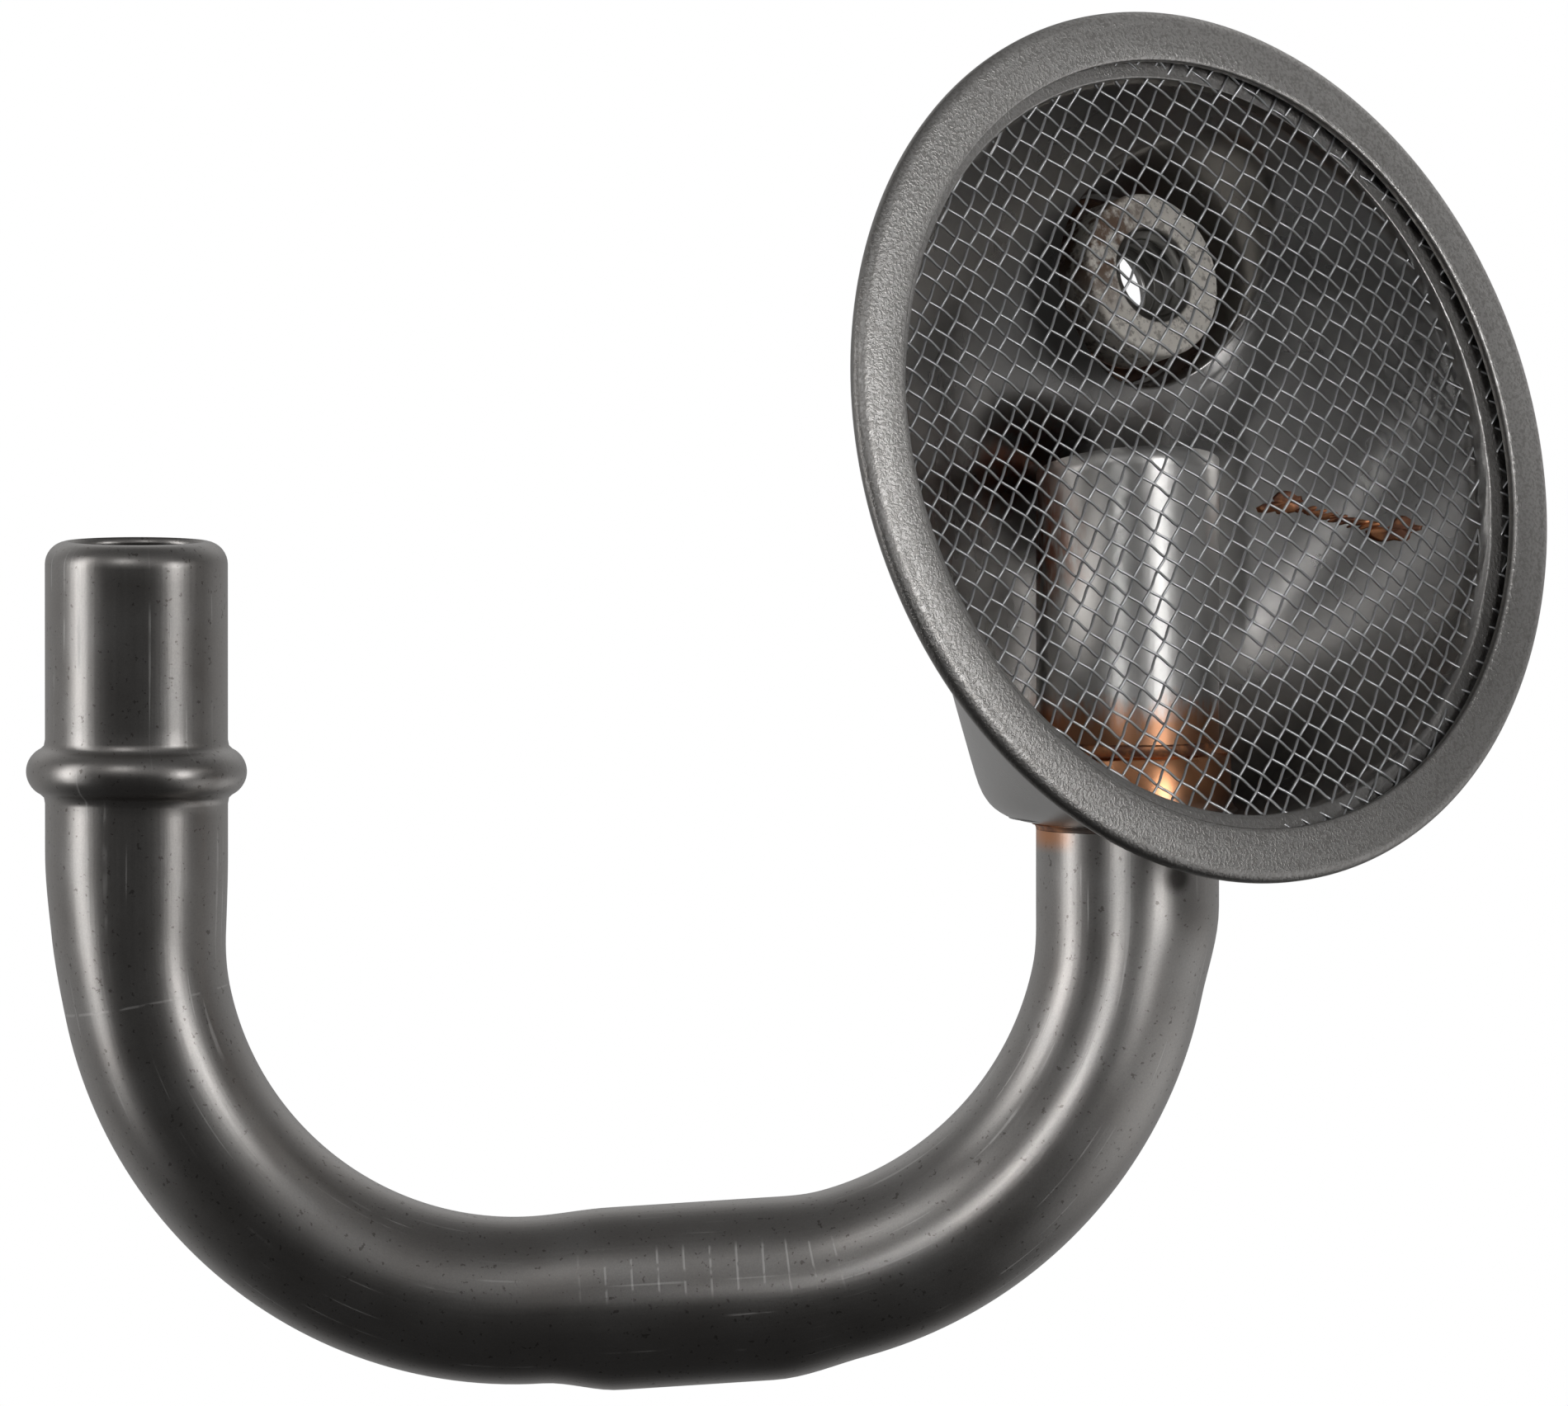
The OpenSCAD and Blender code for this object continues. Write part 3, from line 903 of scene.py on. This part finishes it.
def cup_depth(x, y):
    """Depth of the cup's inner face behind the lip, at places of the mouth."""
    c, n = settings().cup, settings().nut
    rise_start = n.up - c.pocket / 2 - STEP_GAP
    ramp = c.plateau + STEP_SLOPE * (rise_start - y)
    step = higher_of(np.full_like(x, c.plateau), ramp, STEP_BLEND)
    floor = lower_of(hat_depth(x, y), step, HAT_BLEND)
    floor = higher_of(floor, np.full_like(x, c.sheet + c.slot), FLANGE_BLEND)
    from_wall = np.hypot(x - n.aside, y - n.up) - c.pocket / 2
    wall = c.seat - WELL_SLOPE * (from_wall + WELL_LEAD)
    well = lower_of(np.full_like(x, c.seat), wall, SEAT_BLEND)
    return higher_of(floor, well, POCKET_BLEND)


# Pieces


class PICKUP_OT_tube(Operator):
    """Bent tube with its rolled-in end, bead, flattened bends and slanted end"""

    bl_idname = "pickup.tube"
    bl_label = "Bent tube"

    def execute(self, context):
        t = settings().tube
        path = tube_path()
        sides = 72
        spin = np.linspace(0, 2 * np.pi, sides, endpoint=False)
        radius = t.od / 2
        bore = radius - t.wall
        nose = radius - t.nose
        bead = t.bead_height / 2
        bead_r = t.bead_od / 2 - bead
        leg_turn = -math.pi / 2

        def ring(r, centre, turn, squeeze=0.0):
            c = np.cos(spin)
            share = np.where(c > 0, OUTER_SHARE, 1 - OUTER_SHARE)
            out = (r - share * squeeze) * c
            return np.stack(
                [
                    centre[0] + out * math.sin(turn),
                    r * np.sin(spin),
                    centre[1] - out * math.cos(turn),
                ],
                -1,
            )

        def first_flattening(arc):
            return t.first_squeeze * smooth((arc + t.fade) / (2 * t.fade))

        def upright(profile):
            return [ring(r, (0.0, z), leg_turn, first_flattening(-t.leg - z)) for r, z in profile]

        def bent(r):
            rings = []
            for turn in np.linspace(-math.pi / 2, t.run_slope, 60):
                arc = t.first_bend * (turn + math.pi / 2)
                centre = path["first"] + t.first_bend * np.array([math.sin(turn), -math.cos(turn)])
                rings.append(ring(r, centre, turn, first_flattening(arc)))
            for part in np.linspace(0, 1, 24)[1:-1]:
                centre = path["run_start"] + path["ahead"] * t.run * part
                squeeze = t.first_squeeze * (1 - smooth(t.run * part / t.fade))
                rings.append(ring(r, centre, t.run_slope, squeeze))
            for turn in np.linspace(t.run_slope, math.pi / 2, 60):
                arc = t.second_bend * min(turn - t.run_slope, math.pi / 2 - turn)
                centre = path["second"] + t.second_bend * np.array([math.sin(turn), -math.cos(turn)])
                rings.append(ring(r, centre, turn, t.second_squeeze * smooth(arc / t.fade)))
            start = ring(r, (path["leg_x"], path["leg_z"]), math.pi / 2)
            end = start.copy()
            across = start[:, 0] - path["leg_x"]
            slant = math.tan(t.mitre)
            end[:, 2] = t.end_height + slant * (
                across * math.sin(t.mitre_turn) - start[:, 1] * math.cos(t.mitre_turn)
            )
            for part in np.linspace(0, 1, 26)[1:]:
                rings.append(start + (end - start) * part)
            return rings

        quarter = np.linspace(0, math.pi / 2, 10)
        nose_z = t.spigot - t.nose
        foot = math.acos((radius + FOOT_RISE - bead_r) / bead)
        foot_z = bead * math.sin(foot)
        eased_r, eased_z = radius + EASING[0], foot_z + EASING[1]
        straight = foot_z + EASING_END
        outer = arc(nose, nose_z, t.nose, quarter[::-1])
        outer += [(radius, z) for z in np.linspace(nose_z, straight, 12)[1:]]
        outer += [(eased_r, eased_z)]
        outer += arc(bead_r, 0.0, bead, np.linspace(foot, -foot, 22))
        outer += [(eased_r, -eased_z)]
        outer += [(radius, z) for z in np.linspace(-straight, -t.leg, 14)[:-1]]
        inner = [(bore, z) for z in np.linspace(-t.leg, -GROOVE_HALF, 14)[1:]]
        inner += arc(bead_r, 0.0, bead - t.wall, np.linspace(-GROOVE_TURN, GROOVE_TURN, 9))
        inner += [(bore, z) for z in np.linspace(GROOVE_HALF, nose_z, 8)]
        inner += arc(nose, nose_z, t.nose - t.wall, quarter[1:])
        rings = np.array(upright(outer) + bent(radius) + bent(bore)[::-1] + upright(inner))
        middle = rings.mean(1)
        along = np.r_[0, np.cumsum(np.linalg.norm(np.diff(middle, axis=0), axis=1))]
        shape = loft(rings, along, spin * radius, closed=True)
        fit("bent_tube", shape, tube_finish(), ["pickup_tube"])
        return {"FINISHED"}


class PICKUP_OT_cup(Operator):
    """Stamped cup: pocket, trough, ramp and flange in one sheet, with the lip folded over"""

    bl_idname = "pickup.cup"
    bl_label = "Stamped cup"

    def execute(self, context):
        c, n, t = settings().cup, settings().nut, settings().tube
        sides = 216
        spin = np.linspace(0, 2 * np.pi, sides, endpoint=False)
        circle = np.stack([np.cos(spin), np.sin(spin)], -1)
        opening = c.hat / 2
        rim = c.rim_od / 2
        fold = 2 * c.sheet + c.slot
        bend = fold * 0.5
        flat = rim - bend
        nut_axis = np.array([n.aside, n.up])
        wall_start, wall_end = (c.pocket / 2 + shift for shift in POCKET_WALL)
        brim = opening + BRIM
        rows = [(nut_axis, r) for r in np.linspace(c.bolt_hole / 2, wall_start, 8)]
        rows += [(nut_axis, r) for r in np.linspace(wall_start, wall_end, 44)[1:]]
        for part in np.linspace(0, 1, 92)[1:]:
            rows.append((nut_axis * (1 - part), wall_end + (brim - wall_end) * part))
        rows += [(nut_axis * 0, r) for r in np.linspace(brim, flat, 10)[1:]]
        flat_rows = np.array([centre + r * circle for centre, r in rows])
        x, y = flat_rows[..., 0], flat_rows[..., 1]
        inside = np.stack([x, y, -cup_depth(x, y)], -1)
        across = np.gradient(inside, axis=0)
        turn = np.roll(inside, -1, 1) - np.roll(inside, 1, 1)
        normal = np.cross(across, turn)
        normal /= np.linalg.norm(normal, axis=-1, keepdims=True)
        outside = inside - normal * c.sheet
        slot = c.slot / 2
        lip_in = rim - c.lip
        edge = LIP_EDGE
        half = np.linspace(-math.pi / 2, math.pi / 2, 9)[1:-1]
        quarter = np.linspace(0, math.pi / 2, 7)
        profile = arc(flat, -c.sheet - slot, slot, half)
        profile += [(r, -c.sheet) for r in np.linspace(flat, lip_in + edge, 4)]
        profile += [(lip_in, -c.sheet + edge), (lip_in, -edge), (lip_in + edge * 0.3, -edge * 0.3)]
        crown = np.linspace(0, 1, 12)
        drop = CROWN_DROP * crown**2
        profile += list(zip(lip_in + edge + (flat - lip_in - edge) * crown, -drop))
        profile += [
            (flat + bend * math.sin(q), (bend - drop[-1]) * (math.cos(q) - 1) - drop[-1])
            for q in quarter[1:]
        ]
        profile += arc(flat, bend - fold, bend, -quarter)
        hem = np.array([[(r * a, r * b, z) for a, b in circle] for r, z in profile])
        rings = np.concatenate([inside, hem, outside[::-1]])
        step = np.linalg.norm(np.diff(rings, axis=0), axis=-1).mean(1)
        along = np.r_[0, np.cumsum(step)]
        points, faces, uv = loft(rings, along, spin * opening, closed=True)
        points = mouth_point(points)
        middle = points[faces].mean(1)
        from_leg = np.hypot(middle[:, 0] - tube_path()["leg_x"], middle[:, 1])
        keep = (from_leg > t.od / 2 - HOLE_INSET) | (middle[:, 2] > HOLE_TOP)
        shape = joined([(points, faces[keep], uv[keep]), self.collar()])
        fit("stamped_cup", shape, cup_finish(), ["pickup_cup"], [weld, edge_hole])
        return {"FINISHED"}

    def collar(self):
        """Sheet turned up around the tube, round at its foot."""
        c, t = settings().cup, settings().tube
        inner = t.od / 2 + COLLAR_GAP
        outer = inner + c.sheet
        floor = -c.end_wall
        top, under = floor + c.collar, floor - c.sheet / 2
        quarter = np.linspace(0, math.pi / 2, 7)
        profile = [(inner, under), (inner, top - COLLAR_EDGE)]
        profile += [(inner + COLLAR_EDGE, top), (outer - COLLAR_EDGE, top)]
        profile += [(outer, top - COLLAR_EDGE), (outer, floor + COLLAR_FOOT)]
        profile += arc(outer + COLLAR_FOOT, floor + COLLAR_FOOT, COLLAR_FOOT, math.pi + quarter[1:])
        profile += [(outer + COLLAR_FOOT, under)]
        return turned(np.array(profile), leg_point)


class PICKUP_OT_screen(Operator):
    """Plain woven wire cloth, dished into the mouth and held in the fold"""

    bl_idname = "pickup.screen"
    bl_label = "Woven screen"

    def dish(self, x, y):
        """Height of the cloth against the lip face."""
        c = settings().cup
        places = np.array([-42, -36, -30, -15, 0, 15, 25, 32, 37, 42]) * MM
        depths = np.array([2.2, 2.5, 2.7, 2.5, 1.5, 0.5, 0.6, 1.3, 2.1, 2.3]) * MM
        edge = smooth((HELD_EDGE - np.hypot(x, y)) / HELD_WIDTH)
        return -c.sheet - c.slot / 2 - np.interp(x, places, depths) * edge

    def execute(self, context):
        s, c = settings().screen, settings().cup
        reach = c.rim_od / 2 - WIRE_INSET
        spin = np.linspace(0, 2 * np.pi, s.sides, endpoint=False)
        turns = (s.warp_turn, s.weft_turn)
        normals = [np.array([-math.sin(a), math.cos(a)]) for a in turns]
        parts = []
        for family, turn in enumerate(turns):
            heading = np.array([math.cos(turn), math.sin(turn)])
            normal, other = normals[family], normals[1 - family]
            count = int(reach / s.pitch)
            for k in range(-count, count + 1):
                shift = k * s.pitch
                half = math.sqrt(max(reach**2 - shift**2, 0.0))
                if half < 2 * s.pitch:
                    continue
                along = np.linspace(-half, half, max(8, int(2 * half / (s.pitch / 4))))
                wave = along * DRIFT_WAVES + DRIFT_START * k + family
                drift = WIRE_DRIFT * s.pitch * np.sin(wave)
                flat = np.outer(along, heading) + np.outer(shift + drift, normal)
                index = flat @ other / s.pitch
                sign = (1 if k % 2 else -1) * (1 if family else -1)
                lift = sign * CRIMP * s.wire * np.cos(math.pi * index)
                line = np.column_stack([flat, self.dish(flat[:, 0], flat[:, 1]) + lift])
                tangent = np.gradient(line, axis=0)
                tangent /= np.linalg.norm(tangent, axis=1, keepdims=True)
                side = np.array([*normal, 0.0])
                top = np.cross(tangent, side)
                top /= np.linalg.norm(top, axis=1, keepdims=True)
                side = np.cross(top, tangent)
                rings = line[:, None] + 0.5 * s.wire * (
                    np.cos(spin)[None, :, None] * side[:, None]
                    + np.sin(spin)[None, :, None] * top[:, None]
                )
                parts.append(loft(capped(rings), np.r_[along[0], along, along[-1]], spin * s.wire))
        points, faces, uv = joined(parts)
        shape = (mouth_point(points), faces, uv)
        fit("woven_screen", shape, wire_finish(), ["inlet_screen"], [weld])
        return {"FINISHED"}


class PICKUP_OT_nut(Operator):
    """Round threaded nut that stands in the cup's pocket"""

    bl_idname = "pickup.nut"
    bl_label = "Threaded nut"

    def execute(self, context):
        n = settings().nut
        spin = np.linspace(0, 2 * np.pi, RING_SIDES, endpoint=False)
        crest = n.bore / 2
        root = crest + THREAD_DEPTH * n.thread
        round_edge = n.chamfer
        quarter = np.linspace(0, math.pi / 2, 6)
        outer = n.od / 2
        face_end, face_start = outer - round_edge, root + round_edge * 0.6
        profile = [(root + round_edge * 0.4, 0.0), (outer - NUT_BREAK, 0.0), (outer, NUT_BREAK)]
        profile += arc(face_end, n.depth - round_edge, round_edge, quarter)
        profile += [(r, n.depth) for r in np.linspace(face_end, face_start, 14)[1:]]
        profile = np.array(profile)
        radius = np.repeat(profile[:, :1], RING_SIDES, 1)
        height = np.repeat(profile[:, 1:], RING_SIDES, 1)
        levels = np.linspace(n.depth - THREAD_END, THREAD_END, 64)
        phase = (levels[:, None] / n.thread - spin[None, :] / (2 * np.pi)) % 1.0
        tooth = np.abs(2 * phase - 1)
        flare = np.maximum(levels - (n.depth - n.chamfer), n.chamfer - levels)
        wall = crest + (root - crest) * np.clip(1.25 * tooth - 0.1, 0, 1)
        wall = np.maximum(wall, (root - NUT_BREAK + flare)[:, None] * (flare > 0)[:, None])
        radius = np.concatenate([radius, wall])
        height = np.concatenate([height, np.repeat(levels[:, None], RING_SIDES, 1)])
        rings = np.stack([radius * np.cos(spin), radius * np.sin(spin), height], -1)
        along = np.r_[0, np.cumsum(np.linalg.norm(np.diff(rings[:, 0], axis=0), axis=1))]
        points, faces, uv = loft(rings, along, spin * outer, closed=True)
        shape = (nut_point(points), faces, uv)
        fit("threaded_nut", shape, nut_finish(), ["mounting_nut"])
        return {"FINISHED"}


class PICKUP_OT_braze(Operator):
    """Copper braze around the tube and the nut, and the drops that ran onto the ramp"""

    bl_idname = "pickup.braze"
    bl_label = "Copper braze"

    def fillet(self, radius, size, floor, upward):
        """Hollow fillet between an upright wall and a floor."""
        bow = np.linspace(0, math.pi / 2, 9)
        corner = [(radius - BRAZE_SEAT, 0.0)]
        profile = np.array(corner + arc(radius + size, size, size, math.pi + bow))
        profile[:, 1] = floor + (profile[:, 1] if upward else -profile[:, 1])
        return profile

    def uneven(self, radius, height, spin):
        """Makes the width of a fillet swell and shrink around it."""
        base = radius.min()
        swell = 1 + sum(size * np.sin(waves * spin + start) for size, waves, start in SWELLS)
        return base + (radius - base) * swell, height

    def drop(self, x, y, wide, tall):
        """Low rounded drop on the floor of the cup."""
        spin = np.linspace(0, 2 * np.pi, 20, endpoint=False)
        rise = np.linspace(0.02, 1, 7)
        ragged = 1 + 0.25 * np.sin(3 * spin + x * 900) + 0.15 * np.sin(5 * spin + y * 700)
        px = x + wide * np.outer(rise, ragged * np.cos(spin))
        py = y + tall * np.outer(rise, ragged * np.sin(spin))
        lift = DROP_HEIGHT * (1 - rise**2)[:, None] - DROP_SINK
        rings = np.stack([px, py, lift - cup_depth(px, py)], -1)
        return loft(capped(rings), np.r_[rise[0], rise, rise[-1]] * wide, spin * wide)

    def execute(self, context):
        n, c, t = settings().nut, settings().cup, settings().tube
        finish = braze_finish()
        tube_r = t.od / 2 + TUBE_CLEARANCE
        below = self.fillet(tube_r, n.tube_fillet / 2, -c.end_wall - c.sheet, False)
        above = self.fillet(tube_r, c.sheet, -c.end_wall + c.collar, True)
        rings = [turned(p, leg_point, self.uneven) for p in (below, above)]
        fit("tube_braze_ring", joined(rings), finish, ["tube_braze"])
        seat = self.fillet(n.od / 2 + NUT_CLEARANCE, n.nut_fillet, 0.0, True)
        shape = turned(seat, nut_point, self.uneven)
        fit("nut_braze_ring", shape, finish, ["nut_braze"])
        drops = [FIRST_DROP, LAST_DROP]
        first, last = np.array(FIRST_DROP[:2]), np.array(LAST_DROP[:2])
        for share in np.linspace(ROW_START, ROW_END, SMALL_DROPS):
            drops.append((*(first + (last - first) * share), *SMALL_DROP))
        points, faces, uv = joined([self.drop(*drop) for drop in drops])
        fit("braze_drops", (mouth_point(points), faces, uv), finish, edits=[weld])
        return {"FINISHED"}


class PICKUP_OT_stage(Operator):
    """Pale floor, soft light and the camera"""

    bl_idname = "pickup.stage"
    bl_label = "Stage"

    def execute(self, context):
        scene = context.scene
        scene.view_settings.view_transform = "Standard"
        low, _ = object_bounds()
        self.floor(low.z - FLOOR_DROP)
        self.sky(scene)
        for light in LIGHTS:
            self.panel_light(*light)
        self.camera(scene)
        return {"FINISHED"}

    def floor(self, height):
        """Lit pale floor below the part, which lights nothing else."""
        tone = tuple(settings().finish.floor)
        material, shader = new_finish("pale_floor_tone")
        cloud = shader.noise(shader.place(), 2.0)
        base = shader.mix(cloud, tone, tuple(c * 0.99 for c in tone))
        shader.surface(Base_Color=base, Roughness=0.9, Emission_Color=base, Emission_Strength=1.0)
        corners = FLOOR_REACH * np.array([(-1, -1), (1, -1), (1, 1), (-1, 1)])
        mesh = bpy.data.meshes.new("pale_floor")
        mesh.from_pydata([(x, y, height) for x, y in corners], [], [(0, 1, 2, 3)])
        mesh.materials.append(material)
        floor = bpy.data.objects.new("pale_floor", mesh)
        floor.visible_glossy = False
        floor.visible_diffuse = False
        bpy.context.scene.collection.objects.link(floor)
        floor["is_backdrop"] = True

    def sky(self, scene):
        """Soft surroundings that metal mirrors, plain white where the camera looks past the part."""
        world = bpy.data.worlds.new("studio")
        world.use_nodes = True
        scene.world = world
        shader = Shader(world.node_tree)
        x, y, z = shader.parts(shader.node("ShaderNodeTexCoord", output="Generated"))
        back = shader.between(y, -0.45, 0.8)
        level = 1 - shader.between(z.absolute(), 0.35, 0.95)
        front = 1 - shader.between(x.absolute(), 0.45, 0.85)
        above = shader.between(z, 0.05, 0.5) * (1 - shader.between(z, 0.5, 1.0) * 0.7)
        right = shader.between(x, 0.55, 0.9) * shader.between(0 - z, 0.08, 0.4)
        shade = 0.03 + 0.34 * back * level + 0.26 * above * front + 0.55 * right
        seen = shader.node("ShaderNodeLightPath", output="Is Camera Ray")
        shade = shade * (1 - seen) + seen
        light = shader.node("ShaderNodeBackground", None, {"Color": shade, "Strength": 1.0})
        shader.node("ShaderNodeOutputWorld", None, {"Surface": light})

    def panel_light(self, name, place, size, power, spread, height):
        """Soft panel that is aimed at the part and isn't seen itself."""
        light = bpy.data.lights.new(name, "AREA")
        light.shape = "RECTANGLE"
        light.size, light.size_y = size
        light.energy = power
        light.spread = math.radians(spread)
        lamp = bpy.data.objects.new(name, light)
        lamp.location = place
        aim = Vector((LIGHT_AIM, 0.0, height)) - Vector(place)
        lamp.rotation_euler = aim.to_track_quat("-Z", "Y").to_euler()
        lamp.visible_camera = False
        bpy.context.scene.collection.objects.link(lamp)

    def camera(self, scene):
        """Camera far off and a little above the plane of the tube."""
        data = bpy.data.cameras.new("photo_view")
        camera = bpy.data.objects.new("photo_view", data)
        scene.collection.objects.link(camera)
        rise = math.radians(CAMERA_RISE)
        back = Vector((0.0, -math.cos(rise), math.sin(rise)))
        camera.location = Vector(CAMERA_AIM) + CAMERA_AWAY * back
        camera.rotation_euler = (-back).to_track_quat("-Z", "Y").to_euler()
        data.sensor_width = SENSOR_WIDTH
        data.lens = SENSOR_WIDTH * CAMERA_AWAY / VIEW_WIDTH
        data.clip_start, data.clip_end = CLIP
        scene.camera = camera


class PICKUP_PT_sidebar(Panel):
    """Lists the pieces of the pickup"""

    bl_idname = "PICKUP_PT_sidebar"
    bl_label = "Oil pickup tube"
    bl_space_type = "VIEW_3D"
    bl_region_type = "UI"
    bl_category = "Pickup"

    def draw(self, context):
        for piece in PIECES:
            self.layout.operator(piece.bl_idname)


PIECES = (
    PICKUP_OT_tube,
    PICKUP_OT_cup,
    PICKUP_OT_screen,
    PICKUP_OT_nut,
    PICKUP_OT_braze,
    PICKUP_OT_stage,
)
GROUPS = (TubeSizes, CupSizes, ScreenSizes, NutSizes, FinishColours, PickupSettings)


def register():
    """Makes the settings, operators and panel known."""
    for kind in (*GROUPS, *PIECES, PICKUP_PT_sidebar):
        bpy.utils.register_class(kind)
    bpy.types.Scene.pickup = PointerProperty(type=PickupSettings)


def unregister():
    """Takes them out again, last ones first."""
    del bpy.types.Scene.pickup
    for kind in reversed((*GROUPS, *PIECES, PICKUP_PT_sidebar)):
        bpy.utils.unregister_class(kind)


def main():
    """Builds the pickup and its stage."""
    register()
    bpy.ops.pickup.tube()
    bpy.ops.pickup.cup()
    bpy.ops.pickup.screen()
    bpy.ops.pickup.nut()
    bpy.ops.pickup.braze()
    bpy.ops.pickup.stage()


if __name__ == "__main__":
    main()
